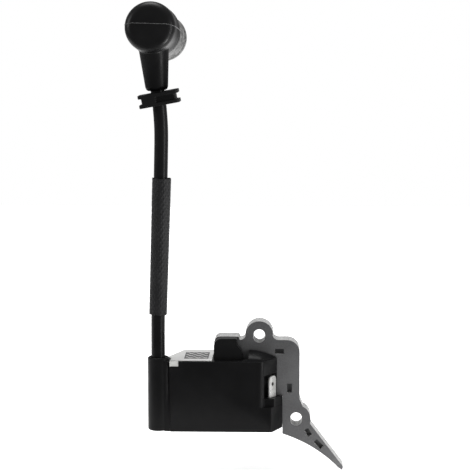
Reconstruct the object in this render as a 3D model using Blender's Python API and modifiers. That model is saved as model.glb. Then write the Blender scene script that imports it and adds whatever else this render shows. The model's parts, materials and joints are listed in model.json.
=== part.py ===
"""Flywheel ignition coil of a small two-stroke engine, as separate parts.

World axes: +X to the right of the coil, +Y towards the engine, +Z up along the lead.
The origin is on the core's mounting face, on the centre line of its right leg.
Sizes below are in millimetres and MM turns them into Blender's metres.
"""

import math

import bmesh
import bpy
from mathutils import Matrix, Vector

MM = 0.001

# ---------------------------------------------------------------- general clearances
GAP = 0.3  # between pieces that rest on or pass through each other
WIRE_GAP = 0.2  # round a fine wire or strip in its slot
TIGHT_GAP = 0.06  # where the casing lies against the right leg
SEAM = 0.02  # sinks one shape's face below another's where they are joined

# ---------------------------------------------------------------- laminated core
PLATE_COUNT = 12
PLATE = 0.62  # thickness of one lamination
PLATE_GAP = 0.05  # insulating varnish between laminations
CORE_DEPTH = PLATE_COUNT * PLATE + (PLATE_COUNT - 1) * PLATE_GAP
CORE_FRONT = -CORE_DEPTH
CORE_MID = CORE_FRONT / 2
FLYWHEEL_X = -17.4  # the flywheel's axis, which both pole faces are cut round
FLYWHEEL_Z = -68.4
POLE_RADIUS = 49.6
LEG_LEFT = -27.8  # wound leg
LEG_WIDTH = 8.0
YOKE_BOTTOM = 6.0
YOKE_TOP = 13.9
STEP_TOP = 15.1  # raised end of the yoke over the wound leg
STEP_END = -18.6
SHOE_LEG_IN = -5.1  # inner edge of the right leg above the step
SHOE_LEG_STEP_IN = -2.75  # inner edge of the right leg below the step
SHOE_LEG_OUT = 3.5
LEG_STEP_Z = -7.0
EAR_X = -11.3
EAR_Z = 15.35
EAR_RADIUS = 5.1
LOBE_X = 2.3
LOBE_Z = -15.5
LOBE_RADIUS = 5.3
SLOT_WIDTH = 4.3  # for an M4 screw
SLOT_LENGTH = 5.0
SHOULDER_RADIUS = 4.6
WING_TIP_X = 19.6
WING_TIP_Z = -33.2
STAKED_PLATES = 3  # the interlock notches go through this many plates from the front
STAKES = (  # x, z, length, width, turn
    (-3.9, 9.6, 3.3, 1.9, 0),
    (-0.2, -4.0, 3.4, 1.8, 90),
    (6.7, -20.5, 2.9, 1.7, 120),
    (10.6, -24.9, 3.7, 1.8, 135),
)

# ---------------------------------------------------------------- casing
WALL = 1.4
FLOOR = 1.4
RIM_Z = 7.3
NOTCH_RIGHT = -40.3  # notch in the front rim beside the lead tower
NOTCH_Z = 5.5
BASE_Z = -18.5
FRONT_Y = -17.0
CASE_LEFT = -45.0
CASE_FRONT_LEFT = -43.4
BACK_Y = 6.6
NARROW_BACK_Y = -8.0  # slanted wall behind the lead tower, from here on the casing's left side
NARROW_X = -39.6  # to here on its back
SLANT_X = -10.05  # where the front face meets the slanted side
SLANT_END_X = -4.8
CORNER_ROUND = 1.7  # soft corner between the front and the slanted side
BLOCK_X = -6.5  # the same corner on the lower block
BLOCK_FRONT_TOP = -9.5
LEDGE_Z = -6.5
LEDGE_FRONT_Y = -15.2
OPENING_RIGHT = -15.0  # right end of the potting opening
DECK_TOP = YOKE_BOTTOM - GAP  # casing under the yoke
SHOULDER_LEFT_Z = 10.4  # domed shoulder before the yoke, at its left and right ends
SHOULDER_RIGHT_Z = 7.7
SHOULDER_START_Z = 8.7  # its left end first rises from this height
SHOULDER_RISE = 2.2
RECESS_DEPTH = 1.6
RECESS_TOP = 2.0
CAVITY_RIGHT = -12.2

# ---------------------------------------------------------------- lead tower and lead
LEAD_RADIUS = 2.5
LEAD_BORE = 1.1
CONDUCTOR_RADIUS = 0.8
TOWER_X = -47.8
TOWER_Y = -13.2
TOWER_BORE = LEAD_RADIUS + 0.8
TOWER_WALL = 0.62
TOWER_RADIUS = TOWER_BORE + TOWER_WALL
TOWER_TOP = 8.5
TOWER_BORE_BOTTOM = -13.3
SEAL_GAP = 0.2
# The lead's centre line, chosen by hand: up the tower, through sleeve and grommet, into the boot.
LEAD_ROUTE = (
    (-47.8, -13.2, -7.0),
    (-47.82, -13.2, 1.0),
    (-47.9, -13.2, 9.0),
    (-47.9, -13.2, 17.0),
    (-47.82, -13.2, 25.0),
    (-47.62, -13.2, 35.0),
    (-47.38, -13.2, 45.0),
    (-47.07, -13.2, 57.0),
    (-46.79, -13.2, 69.0),
    (-46.57, -13.2, 79.0),
    (-46.42, -13.2, 87.0),
    (-46.45, -13.2, 91.5),
    (-46.72, -13.2, 96.5),
    (-47.18, -13.2, 101.4),
    (-47.84, -13.2, 106.2),
    (-48.3, -13.2, 111.2),
    (-48.81, -13.2, 118.1),
    (-49.03, -13.2, 121.2),
)

# ---------------------------------------------------------------- sleeve and grommet
SLEEVE_BOTTOM = (-47.9, 24.1)  # x and z of the sleeve's axis at its ends
SLEEVE_TOP = (-46.3, 73.6)
SLEEVE_BORE_BOTTOM = LEAD_RADIUS + 0.35
SLEEVE_BORE_TOP = LEAD_RADIUS + 0.55
SLEEVE_WALL = 0.35
GROMMET_X = -47.05
GROMMET_Z = 102.15
GROMMET_TILT = 10.4
GROMMET_LENGTH = 14.6
GROMMET_DEPTH = 10.0
GROMMET_HEIGHT = 4.7
GROMMET_LIP = 1.3
GROMMET_GROOVE = 1.1

# ---------------------------------------------------------------- plug boot
BOOT_X = -49.45  # where the lead's axis and the plug's axis cross
BOOT_Y = TOWER_Y
BOOT_Z = 126.97
BOOT_TILT = 4.2  # the whole boot leans left
BOOT_YAW = 4.3
PLUG_DROP = 8.6  # the socket points this far below square
HEAD_RADIUS = 9.1
HEAD_FRONT = 7.8
HEAD_BACK = 6.4
HEAD_FILLET = 3.1
NECK_RADIUS = 7.2
NECK_END = 9.2
SKIRT_RADIUS = 8.1
SKIRT_END = 27.2
SKIRT_LIP = 8.55
SOCKET_RADIUS = 5.9
SOCKET_MOUTH = 6.9
SOCKET_BOTTOM = 9.5
CHAMBER_RADIUS = 4.6
CHAMBER_END = -3.2
STEM_TOP_RADIUS = 5.5
STEM_BOTTOM_RADIUS = LEAD_RADIUS + 1.5
STEM_LENGTH = 22.0
SPRING_RADIUS = 3.2
SPRING_WIRE = 0.45
SPRING_TURNS = 5
SPRING_START = -1.8
SPRING_LENGTH = 9.5

# ---------------------------------------------------------------- windings
LEG_MID_X = LEG_LEFT + LEG_WIDTH / 2
BOBBIN_BORE = LEG_WIDTH / 2 + GAP
BOBBIN_WALL = 1.0
BOBBIN_FLANGE = 8.3
COIL_BOTTOM = BASE_Z + FLOOR + GAP
COIL_FLANGE = 1.0
PRIMARY_BUILD = 0.9
SECONDARY_WALL = 0.6
SECONDARY_FLANGE = 8.6
SECONDARY_BUILD = 0.7
CHAMBERS = 4
CHEEK_LEFT = -27.7
CHEEK_RIGHT = -17.2
CHEEK_DEPTH = 4.2
CHEEK_TOP_RIGHT = -19.3
CHEEK_FLARE_Z = 8.7
CHEEK_RADIUS = 2.6
BACK_CHEEK_TOP = 11.5
BACK_CHEEK_DEPTH = 2.4
BACK_CHEEK_RADIUS = 1.2
COVER_LEFT = -28.0  # plates of the bobbin that close the opening before and behind the leg
COVER_TOP = RIM_Z - 0.2


# ================================================================ helpers
def material(name, colour, roughness, metallic=0.0):
    made = bpy.data.materials.new(name)
    made.use_nodes = True
    shader = made.node_tree.nodes["Principled BSDF"]
    shader.inputs["Base Color"].default_value = (*colour, 1.0)
    shader.inputs["Roughness"].default_value = roughness
    shader.inputs["Metallic"].default_value = metallic
    made.diffuse_color = (*colour, 1.0)
    return made


def collection(name):
    made = bpy.data.collections.new(name)
    bpy.context.scene.collection.children.link(made)
    return made


def add_object(name, data, place=None):
    made = bpy.data.objects.new(name, data)
    (place or PART).objects.link(made)
    return made


def finish_piece(obj, finish, smooth_angle=None, parent=None):
    """Gives a piece its material, its shading and, if it moves, its parent."""
    obj.data.materials.clear()
    obj.data.materials.append(finish)
    if smooth_angle:
        obj.data.shade_smooth()
        obj.data.set_sharp_from_angle(angle=math.radians(smooth_angle))
    if parent:
        obj.parent = parent
    return obj


def curve_to_mesh(name, curve_object, place=None):
    """Turns a curve into a welded mesh object at the same place and removes the curve."""
    bpy.context.view_layer.update()
    graph = bpy.context.evaluated_depsgraph_get()
    mesh = bpy.data.meshes.new_from_object(curve_object.evaluated_get(graph))
    weld = bmesh.new()
    weld.from_mesh(mesh)
    bmesh.ops.remove_doubles(weld, verts=weld.verts, dist=1e-6)
    bmesh.ops.recalc_face_normals(weld, faces=weld.faces)
    weld.to_mesh(mesh)
    weld.free()
    made = add_object(name, mesh, place)
    made.matrix_world = curve_object.matrix_world
    bpy.data.objects.remove(curve_object)
    return made


def prism(name, loops, low, high, place=None, upright=False):
    """A flat outline, with any holes as further loops, filled and extruded from low to high.

    The outline lies in XY and low and high are Z, or with upright it lies in XZ and they are Y.
    """
    outline = bpy.data.curves.new(name, "CURVE")
    outline.dimensions = "2D"
    outline.fill_mode = "BOTH"
    outline.extrude = (high - low) / 2 * MM
    for loop in loops:
        spline = outline.splines.new("POLY")
        spline.points.add(len(loop) - 1)
        for point, (a, b) in zip(spline.points, loop):
            point.co = (a * MM, b * MM, 0, 1)
        spline.use_cyclic_u = True
    made = add_object(name + "_outline", outline, place)
    middle = (low + high) / 2 * MM
    if upright:
        made.matrix_world = Matrix.Translation((0, middle, 0)) @ Matrix.Rotation(math.pi / 2, 4, "X")
    else:
        made.matrix_world = Matrix.Translation((0, 0, middle))
    return curve_to_mesh(name, made, place)


def rectangle(x0, x1, y0, y1):
    return [(x0, y0), (x1, y0), (x1, y1), (x0, y1)]


def box(name, x0, x1, y0, y1, z0, z1, place=None):
    return prism(name, [rectangle(x0, x1, y0, y1)], z0, z1, place)


def arc(x, z, radius, start, end, steps):
    """Points on a circle from start to end degrees, both ends included."""
    angles = [math.radians(start + (end - start) * i / steps) for i in range(steps + 1)]
    return [(x + radius * math.cos(a), z + radius * math.sin(a)) for a in angles]


def rounded(points, radii, steps=3):
    """The outline with each corner that has a radius turned into an arc."""
    found = []
    count = len(points)
    for i, (corner, radius) in enumerate(zip(points, radii)):
        if not radius:
            found.append(corner)
            continue
        here = Vector(corner)
        back = (Vector(points[i - 1]) - here).normalized()
        ahead = (Vector(points[(i + 1) % count]) - here).normalized()
        half = back.angle(ahead) / 2
        centre = here + (back + ahead).normalized() * (radius / math.sin(half))
        first = here + back * (radius / math.tan(half)) - centre
        last = here + ahead * (radius / math.tan(half)) - centre
        turn = first.angle_signed(last)
        for step in range(steps + 1):
            swung = Matrix.Rotation(-turn * step / steps, 2) @ first
            found.append(tuple(centre + swung))
    return found


def rounded_square(x, y, half, radius, steps=3):
    corners = rectangle(x - half, x + half, y - half, y + half)
    return rounded(corners, [radius] * 4, steps)


def ring(name, x, y, inner, outer, radius, low, high):
    """A square tube with rounded corners round the vertical line at x, y."""
    outside = rounded_square(x, y, outer, radius)
    inside = rounded_square(x, y, inner, max(0.4, radius - (outer - inner)))
    return prism(name, [outside, inside], low, high)


def turned(name, profile, steps=32, place=None):
    """A profile of radius and height, down its outer side, turned round Z by a Screw modifier."""
    mesh = bpy.data.meshes.new(name)
    points = [(radius * MM, 0, height * MM) for radius, height in profile]
    edges = [(i, i + 1) for i in range(len(points) - 1)]
    mesh.from_pydata(points, edges, [])
    made = add_object(name, mesh, place)
    screw = made.modifiers.new("turn", "SCREW")
    screw.steps = steps
    screw.render_steps = steps
    screw.use_merge_vertices = True
    screw.merge_threshold = 1e-6
    return made


def applied(obj):
    """The object with its modifiers made part of its mesh."""
    bpy.context.view_layer.update()
    graph = bpy.context.evaluated_depsgraph_get()
    mesh = bpy.data.meshes.new_from_object(obj.evaluated_get(graph))
    old = obj.data
    obj.modifiers.clear()
    obj.data = mesh
    if hasattr(old, "splines"):
        bpy.data.curves.remove(old)
    else:
        bpy.data.meshes.remove(old)
    return obj


def boolean(obj, other, operation):
    """Joins other to the object, or cuts it away, and removes it."""
    step = obj.modifiers.new(other.name, "BOOLEAN")
    step.operation = operation
    step.solver = "EXACT"
    step.object = other
    applied(obj)
    bpy.data.objects.remove(other)
    return obj


def cut(obj, *others):
    for other in others:
        boolean(obj, other, "DIFFERENCE")
    return obj


def join(obj, *others):
    for other in others:
        boolean(obj, other, "UNION")
    return obj


def placed(obj, matrix):
    obj.matrix_world = matrix
    return obj


def cylinder(name, radius, low, high, steps=24, place=None):
    return turned(name, [(0, high), (radius, high), (radius, low), (0, low)], steps, place)


def smooth_route(points, spacing):
    """A Catmull-Rom curve through the points, as evenly spaced points."""
    guide = [Vector(p) for p in points]
    guide = [2 * guide[0] - guide[1], *guide, 2 * guide[-1] - guide[-2]]
    dense = []
    for a, b, c, d in zip(guide, guide[1:], guide[2:], guide[3:]):
        for step in range(20):
            t = step / 20
            dense.append(
                0.5 * (2 * b + (c - a) * t + (2 * a - 5 * b + 4 * c - d) * t * t
                       + (3 * b - a - 3 * c + d) * t ** 3)
            )
    dense.append(guide[-2])
    total = sum((q - p).length for p, q in zip(dense, dense[1:]))
    count = max(2, round(total / spacing))
    found = [dense[0]]
    walked = 0.0
    for p, q in zip(dense, dense[1:]):
        length = (q - p).length
        while len(found) < count and walked + length >= total * len(found) / count:
            found.append(p.lerp(q, (total * len(found) / count - walked) / length))
        walked += length
    return [*found, dense[-1]]


def wire(name, points, radius, resolution=2, place=None):
    """A round wire along the points, as a welded mesh."""
    curve = bpy.data.curves.new(name, "CURVE")
    curve.dimensions = "3D"
    curve.bevel_depth = radius * MM
    curve.bevel_resolution = resolution
    curve.use_fill_caps = True
    spline = curve.splines.new("POLY")
    spline.points.add(len(points) - 1)
    for point, place_at in zip(spline.points, points):
        point.co = (*(c * MM for c in place_at), 1)
    return curve_to_mesh(name, add_object(name + "_path", curve, place), place)


# ================================================================ core
def slot_outline(x, z):
    """A vertical slot with round ends."""
    half = SLOT_WIDTH / 2
    reach = SLOT_LENGTH / 2 - half
    return arc(x, z + reach, half, 0, 180, 8) + arc(x, z - reach, half, 180, 360, 8)


def stake_outline(x, z, length, width, turn):
    long, short = length / 2, width / 2
    spin = Matrix.Rotation(math.radians(turn), 2)
    corners = [(-long, -short), (long, -short), (long, short), (-long, short)]
    return [tuple(spin @ Vector(c) + Vector((x, z))) for c in corners]


def pole_arc(x_start, x_end, steps):
    """Points of the flywheel circle between two X values."""
    xs = [x_start + (x_end - x_start) * i / steps for i in range(steps + 1)]
    return [(x, FLYWHEEL_Z + math.sqrt(POLE_RADIUS ** 2 - (x - FLYWHEEL_X) ** 2)) for x in xs]


def core_outline():
    """Counterclockwise: wound leg, yoke underside, right leg, wing, outside edge and ear."""
    leg_right = LEG_LEFT + LEG_WIDTH
    outline = pole_arc(LEG_LEFT, leg_right, 3)
    inner = [outline[-1], (leg_right, YOKE_BOTTOM), (SHOE_LEG_IN, YOKE_BOTTOM),
             (SHOE_LEG_IN, LEG_STEP_Z), (SHOE_LEG_STEP_IN, LEG_STEP_Z), (SHOE_LEG_STEP_IN, -12)]
    outline += rounded(inner, [0, 1.0, 0.3, 0.5, 0, 0])[1:-1]
    outline += pole_arc(SHOE_LEG_STEP_IN, WING_TIP_X - 1.8, 12)
    outline += [(WING_TIP_X - 0.3, WING_TIP_Z - 1.2), (WING_TIP_X, WING_TIP_Z)]
    outline += arc(LOBE_X, LOBE_Z, LOBE_RADIUS, -18, 62, 7)
    corner = [(SHOE_LEG_OUT, -8), (SHOE_LEG_OUT, YOKE_TOP), (EAR_X + 7, YOKE_TOP)]
    outline += rounded(corner, [0, SHOULDER_RADIUS, 0], 6)
    outline += arc(EAR_X + 7.0, YOKE_TOP + 2.2, 2.2, 265, 195, 3)
    outline += arc(EAR_X, EAR_Z + 0.35, EAR_RADIUS, 5, 175, 14)
    outline += arc(EAR_X - 6.9, YOKE_TOP + 2.0, 2.0, -15, -85, 3)
    outline += [(STEP_END + 0.2, YOKE_TOP + 0.1)]
    step = [(STEP_END, YOKE_TOP), (STEP_END, STEP_TOP), (LEG_LEFT, STEP_TOP), (LEG_LEFT, 0)]
    outline += rounded(step, [0, 0.6, 2.2, 0])[1:-1]
    return outline


def build_core(steel):
    slots = [slot_outline(EAR_X, EAR_Z), slot_outline(LOBE_X, LOBE_Z)]
    for number in range(PLATE_COUNT):
        front = CORE_FRONT + number * (PLATE + PLATE_GAP)
        holes = [stake_outline(*stake) for stake in STAKES] if number < STAKED_PLATES else []
        plate = prism(f"lamination_{number + 1:02d}", [core_outline(), *slots, *holes],
                      front, front + PLATE, upright=True)
        finish_piece(plate, steel)


# ================================================================ casing
def slant_at(y, corner_x, end_x):
    """X of the slanted side at a depth y before the core."""
    return corner_x + (y - FRONT_Y) / (CORE_FRONT - GAP - FRONT_Y) * (end_x - corner_x)


def slanted_back(inset):
    """The two ends of the slanted wall behind the tower, moved inwards with the walls beside it."""
    back, left = Vector((NARROW_X, BACK_Y)), Vector((CASE_LEFT, NARROW_BACK_Y))
    along = (left - back).normalized()
    inwards = Vector((-along.y, along.x))
    start = back + inwards * inset
    start -= along * ((start.y - back.y + inset) / along.y)
    end = left + inwards * inset
    end -= along * ((end.x - left.x - inset) / along.x)
    return [tuple(start), tuple(end)]


def case_plan(edge):
    """The casing from above on its lower block; edge is how far the outline is moved inwards."""
    right = SHOE_LEG_STEP_IN - TIGHT_GAP - edge
    web = TOWER_Y - TOWER_RADIUS * 0.8
    points = [(CASE_FRONT_LEFT + edge, FRONT_Y + edge), (BLOCK_X - edge, FRONT_Y + edge),
              (right, CORE_FRONT - GAP), (right, GAP), (BLOCK_X - edge, BACK_Y - edge),
              *slanted_back(edge), (CASE_LEFT + edge, TOWER_Y + 1.2),
              (TOWER_X + TOWER_RADIUS * 0.56, web + edge), (CASE_FRONT_LEFT + edge, web + edge)]
    return rounded(points, [0.5, 1.0, 0.4, 0.4, 1.0, 2.0, 1.5, 0, 0, 0.3])


def side_plan():
    """What is cut off the right side above the block: the slanted front, the window, the back."""
    front_edge = CORE_FRONT - GAP
    far = 2.0
    window_x = SHOE_LEG_IN - TIGHT_GAP
    first, corner = Vector((SLANT_X - CORNER_ROUND, FRONT_Y - SEAM)), Vector((SLANT_X, FRONT_Y - SEAM))
    last = corner + (Vector((SLANT_END_X, front_edge)) - corner).normalized() * CORNER_ROUND
    bend = [tuple(first.lerp(corner, t).lerp(corner.lerp(last, t), t)) for t in (0, 0.25, 0.5, 0.75, 1)]
    return [(first.x, FRONT_Y - far), *bend, (SLANT_END_X, front_edge), (window_x, front_edge),
            (window_x, GAP), (SLANT_X - far, BACK_Y + far), (far, BACK_Y + far), (far, FRONT_Y - far)]


def cavity_plan(spare):
    """The inside of the open left part; spare is the room left to its walls."""
    left = CASE_FRONT_LEFT + WALL + spare
    right = OPENING_RIGHT - spare
    front, back = FRONT_Y + WALL + spare, BACK_Y - WALL - spare
    return [(left, front), (right, front), (right, back), *slanted_back(WALL + spare),
            (left, TOWER_Y + 2.7)]


def shoulder():
    """A domed shoulder before the yoke that falls from left to right, as a loft of half ellipses."""
    right = SLANT_END_X - 0.3
    left = CHEEK_RIGHT + GAP
    depth = 7.6
    rows, arcs = 12, 8
    shape = bmesh.new()
    grid = []
    for i in range(rows + 1):
        x = left + (right - left) * i / rows
        fall = 1 - (i / rows) ** 2.4
        crest = SHOULDER_RIGHT_Z + (SHOULDER_LEFT_Z - SHOULDER_RIGHT_Z) * fall
        risen = math.sin(min(1, (x - left) / SHOULDER_RISE) * math.pi / 2)
        height = SHOULDER_START_Z + (crest - SHOULDER_START_Z) * risen - RIM_Z
        reach = min(depth, (x - SLANT_X) * -1.6 + depth) if x > SLANT_X else depth
        back = CORE_FRONT - GAP - SEAM
        row = [shape.verts.new((x * MM, back * MM, (RIM_Z - 0.6) * MM))]
        for j in range(arcs + 1):
            a = math.pi / 2 * j / arcs
            y = back - max(reach, 0.8) * math.cos(a)
            z = RIM_Z - 0.05 + height * math.sin(a)
            row.append(shape.verts.new((x * MM, y * MM, z * MM)))
        row.insert(1, shape.verts.new((x * MM, row[1].co.y, (RIM_Z - 0.6) * MM)))
        grid.append(row)
    size = len(grid[0])
    for one, two in zip(grid, grid[1:]):
        for j in range(size):
            k = (j + 1) % size
            shape.faces.new((one[j], two[j], two[k], one[k]))
    shape.faces.new(grid[0])
    shape.faces.new(list(reversed(grid[-1])))
    bmesh.ops.recalc_face_normals(shape, faces=shape.faces)
    mesh = bpy.data.meshes.new("shoulder")
    shape.to_mesh(mesh)
    shape.free()
    return add_object("shoulder", mesh, TOOLS)


def tower(radius, low, high, edge):
    profile = [(0, high), (radius - 0.4, high), (radius, high - 0.4), (radius, low + edge)]
    profile += [(radius - edge + edge * math.cos(a), low + edge - edge * math.sin(a))
                for a in (math.pi / 6, math.pi / 3, math.pi / 2)]
    profile += [(0, low)]
    made = turned("tower", profile, 28, TOOLS)
    return placed(applied(made), Matrix.Translation((TOWER_X * MM, TOWER_Y * MM, 0)))


def at_tower(obj):
    return placed(obj, Matrix.Translation((TOWER_X * MM, TOWER_Y * MM, 0)))


def build_casing(plastic):
    shell = prism("casing_shell", [case_plan(0)], BASE_Z, RIM_Z)
    side = prism("side", [side_plan()], BLOCK_FRONT_TOP, RIM_Z + 1, TOOLS)
    channel = box("channel", OPENING_RIGHT - 2, 0, CORE_FRONT - GAP, GAP, DECK_TOP, RIM_Z + 2, TOOLS)
    cut(shell, side, channel)
    right = SHOE_LEG_STEP_IN - TIGHT_GAP - SEAM
    ledge_end = slant_at(LEDGE_FRONT_Y, BLOCK_X, right)
    ledge_plan = [(SLANT_X - 3, LEDGE_FRONT_Y), (ledge_end, LEDGE_FRONT_Y), (right, CORE_FRONT - GAP),
                  (SLANT_X - 3, CORE_FRONT - GAP)]
    back_end = SLANT_X + (BACK_Y - GAP) / (CORE_FRONT - GAP - FRONT_Y) * 2
    back_plan = [(SLANT_X - 3, GAP), (right, GAP), (back_end, BACK_Y - WALL), (SLANT_X - 3, BACK_Y - WALL)]
    ledge = prism("ledge", [ledge_plan], BLOCK_FRONT_TOP - 1, LEDGE_Z, TOOLS)
    back_ledge = prism("back_ledge", [back_plan], BLOCK_FRONT_TOP - 1, LEDGE_Z, TOOLS)
    between = box("between_legs", SHOE_LEG_IN - 1, right, CORE_FRONT - 2 * GAP, 2 * GAP,
                  BLOCK_FRONT_TOP - 1, LEG_STEP_Z - GAP, TOOLS)
    join(shell, ledge, back_ledge, between, shoulder(),
         tower(TOWER_RADIUS, BASE_Z + SEAM, TOWER_TOP, 0.7))

    cavity = prism("cavity", [cavity_plan(0)], BASE_Z + FLOOR, RIM_Z + 6, TOOLS)
    side = box("side_cavity", OPENING_RIGHT - 1, CAVITY_RIGHT, FRONT_Y + WALL + SEAM,
               BACK_Y - WALL - SEAM, BASE_Z + FLOOR + SEAM, DECK_TOP - WALL, TOOLS)
    leg_hole = box("leg_hole", LEG_LEFT - GAP, LEG_LEFT + LEG_WIDTH + GAP, CORE_FRONT - GAP, GAP,
                   BASE_Z - 1, BASE_Z + FLOOR + 1, TOOLS)
    notch = box("notch", CASE_FRONT_LEFT - 0.3, NOTCH_RIGHT, FRONT_Y - 1, FRONT_Y + WALL + 0.5,
                NOTCH_Z, RIM_Z + 1, TOOLS)
    lip_y = FRONT_Y + 1.2
    foot_y = CORE_FRONT - GAP - 0.4
    recess_plan = [(slant_at(lip_y, SLANT_X, SLANT_END_X) - RECESS_DEPTH, lip_y), (0, lip_y),
                   (0, foot_y), (slant_at(foot_y, SLANT_X, SLANT_END_X) - RECESS_DEPTH, foot_y)]
    recess = prism("recess", [recess_plan], LEDGE_Z + SEAM, RECESS_TOP, TOOLS)
    bore = at_tower(applied(cylinder("bore", TOWER_BORE, TOWER_BORE_BOTTOM, TOWER_TOP + 2, 24, TOOLS)))
    duct = box("duct", TOWER_X, CASE_FRONT_LEFT + WALL + 1, TOWER_Y + 1.0, TOWER_Y + 2.4,
               TOWER_BORE_BOTTOM + SEAM, TOWER_BORE_BOTTOM + 2, TOOLS)
    join(bore, duct)
    cut(shell, cavity, side, leg_hole, notch, recess, bore, *terminal_slots())
    finish_piece(shell, plastic)


# ================================================================ stop terminal
TAB_WIDTH = 4.8
TAB_THICK = 0.5
TAB_HEIGHT = 7.8
TAB_HOLE = 0.75
TAB_SET_BACK = 3.9  # before the core
TAB_PROUD = 0.48  # of the slanted side
TAB_TURN = 29.0
FOOT_Z = LEDGE_Z - 3.0
FOOT_HEIGHT = 2.0
FOOT_SET_FORWARD = 1.6


def tab_middle():
    y = CORE_FRONT - TAB_SET_BACK
    return slant_at(y, SLANT_X, SLANT_END_X) + TAB_PROUD, y


def tab_frame():
    """Local X runs along the tab's width, local Y is its thickness, at the ledge's height."""
    x, y = tab_middle()
    return (Matrix.Translation((x * MM, y * MM, LEDGE_Z * MM))
            @ Matrix.Rotation(math.radians(90 - TAB_TURN), 4, "Z"))


def foot_box(name, spare, place=None):
    """The strip that runs from the tab's root through the wall into the casing."""
    x, y = tab_middle()
    low = y - FOOT_SET_FORWARD
    return box(name, CAVITY_RIGHT - 0.7 - spare, x - 0.2, low - spare, low + TAB_THICK + spare,
               FOOT_Z - spare, FOOT_Z + FOOT_HEIGHT + spare, place)


def terminal_slots():
    root = box("tab_slot", -TAB_WIDTH / 2 - WIRE_GAP, TAB_WIDTH / 2 + WIRE_GAP,
               -TAB_THICK / 2 - WIRE_GAP, TAB_THICK / 2 + WIRE_GAP,
               FOOT_Z - LEDGE_Z - WIRE_GAP, 1, TOOLS)
    root.matrix_world = tab_frame() @ root.matrix_world
    return [root, foot_box("foot_slot", WIRE_GAP, TOOLS)]


def build_terminal(tin):
    half = TAB_WIDTH / 2
    low = FOOT_Z - LEDGE_Z
    outline = rounded([(-half, low), (half, low), (half, TAB_HEIGHT), (-half, TAB_HEIGHT)],
                      [0, 0, 1.6, 1.6], 5)
    hole = arc(0, TAB_HEIGHT - 2.9, TAB_HOLE, 0, 330, 11)
    tab = prism("stop_terminal", [outline, hole], -TAB_THICK / 2, TAB_THICK / 2, upright=True)
    tab.matrix_world = tab_frame() @ tab.matrix_world
    join(tab, foot_box("foot", 0, TOOLS))
    finish_piece(tab, tin)


# ================================================================ windings
def build_windings(nylon, copper, fine_copper):
    top = DECK_TOP
    tube = BOBBIN_BORE + BOBBIN_WALL
    x, y = LEG_MID_X, CORE_MID
    low_flange = COIL_BOTTOM + COIL_FLANGE
    high_flange = top - 2 * COIL_FLANGE
    bobbin = prism("primary_bobbin", [rounded_square(x, y, tube, 1.0)], COIL_BOTTOM, top)
    flanges = [prism("flange", [rounded_square(x, y, BOBBIN_FLANGE, 1.5)], low, high, TOOLS)
               for low, high in ((COIL_BOTTOM, low_flange), (high_flange, top))]
    corner = (CHEEK_TOP_RIGHT, STEP_TOP - 0.1)
    flare = arc(CHEEK_RIGHT + 0.6, CHEEK_FLARE_Z + 4.8, CHEEK_RIGHT + 0.6 - CHEEK_TOP_RIGHT, 240, 180, 5)
    cheek = rounded([(CHEEK_LEFT, high_flange + 0.5), (CHEEK_RIGHT, high_flange + 0.5),
                     (CHEEK_RIGHT, CHEEK_FLARE_Z), *flare, corner, (CHEEK_LEFT, STEP_TOP - 0.1)],
                    [0, 0, 0, *[0] * len(flare), 0.5, CHEEK_RADIUS], 5)
    front = prism("cheek_front", [cheek], CORE_FRONT - GAP - CHEEK_DEPTH, CORE_FRONT - GAP, TOOLS, True)
    low_cheek = rectangle(CHEEK_LEFT, CHEEK_RIGHT, high_flange + 0.5, BACK_CHEEK_TOP)
    low_cheek = rounded(low_cheek, [0, 0, BACK_CHEEK_RADIUS, BACK_CHEEK_RADIUS])
    back = prism("cheek_back", [low_cheek], GAP, GAP + BACK_CHEEK_DEPTH, TOOLS, True)
    cover_right = OPENING_RIGHT - GAP
    covers = [box("cover", COVER_LEFT, cover_right, low, high, top - 0.2, COVER_TOP, TOOLS)
              for low, high in ((FRONT_Y + WALL + GAP, CORE_FRONT - GAP - SEAM),
                                (GAP + SEAM, BACK_Y - WALL - GAP))]
    join(bobbin, *flanges, front, back, *covers)
    side = BOBBIN_BORE
    bore = box("bore", x - side, x + side, CORE_FRONT - GAP, GAP, COIL_BOTTOM - 1, top + 1, TOOLS)
    groove = box("groove", x - side - 0.7, x - side + 1, y - 1, y + 1, COIL_BOTTOM - 1, top - 2.5, TOOLS)
    cut(bobbin, bore, groove)
    finish_piece(bobbin, nylon)

    inner = tube + GAP
    outer = inner + PRIMARY_BUILD
    winding_low = low_flange + GAP
    winding_high = high_flange - GAP
    finish_piece(ring("primary_winding", x, y, inner, outer, 1.6, winding_low, winding_high), copper)

    spool_in = outer + GAP
    spool_out = spool_in + SECONDARY_WALL
    pitch = (winding_high - winding_low - COIL_FLANGE) / CHAMBERS
    spool = prism("secondary_bobbin", [rounded_square(x, y, spool_out, 1.8)], winding_low, winding_high)
    rims = [prism("rim", [rounded_square(x, y, SECONDARY_FLANGE, 2.5)],
                  winding_low + i * pitch, winding_low + i * pitch + COIL_FLANGE, TOOLS)
            for i in range(CHAMBERS + 1)]
    join(spool, *rims)
    hollow = prism("hollow", [rounded_square(x, y, spool_in, 1.0)], winding_low - 1, winding_high + 1,
                   TOOLS)
    finish_piece(cut(spool, hollow), nylon)
    for i in range(CHAMBERS):
        low = winding_low + i * pitch + COIL_FLANGE + GAP / 2
        high = winding_low + (i + 1) * pitch - GAP / 2
        finish_piece(ring(f"secondary_winding_{i + 1}", x, y, spool_out + GAP,
                          spool_out + GAP + SECONDARY_BUILD, 1.8, low, high), fine_copper)
    strip = box("ground_strip", x - side - 0.5, x - side - 0.1, y - 0.8, y + 0.8,
                COIL_BOTTOM + 1.5, top - 3.0)
    return strip


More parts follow.
